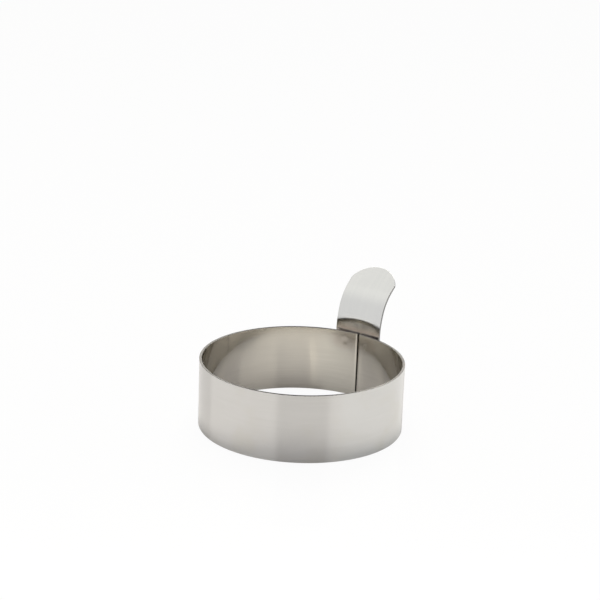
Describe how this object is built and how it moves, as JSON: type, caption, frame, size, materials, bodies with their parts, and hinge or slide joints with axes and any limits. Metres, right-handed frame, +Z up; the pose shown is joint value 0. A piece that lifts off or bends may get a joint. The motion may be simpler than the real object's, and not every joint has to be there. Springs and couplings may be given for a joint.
{
  "type": "egg ring",
  "caption": "Round open band of sheet steel for shaping a fried egg, with a bent thumb tab welded over the band's seam.",
  "frame": {"origin": "on the surface that the band stands on, under the middle of the whole part's bounding box", "axes": "+Z up along the band's axis, +Y from the band towards the tab, +X to the right when looking along +Y"},
  "size_m": [0.0762, 0.0916, 0.0486],
  "materials": {
    "band_steel": "fine satin, brushed round the band, open at both ends",
    "tab_steel": "bright rolled sheet, nearly mirror",
    "weld_steel": "cast weld metal, dull"
  },
  "bodies": {
    "root": {"ring_band": "band_steel", "handle_tab": "tab_steel", "spot_weld_upper_left": "weld_steel", "spot_weld_upper_right": "weld_steel", "spot_weld_lower_left": "weld_steel", "spot_weld_lower_right": "weld_steel"}
  },
  "joints": []
}
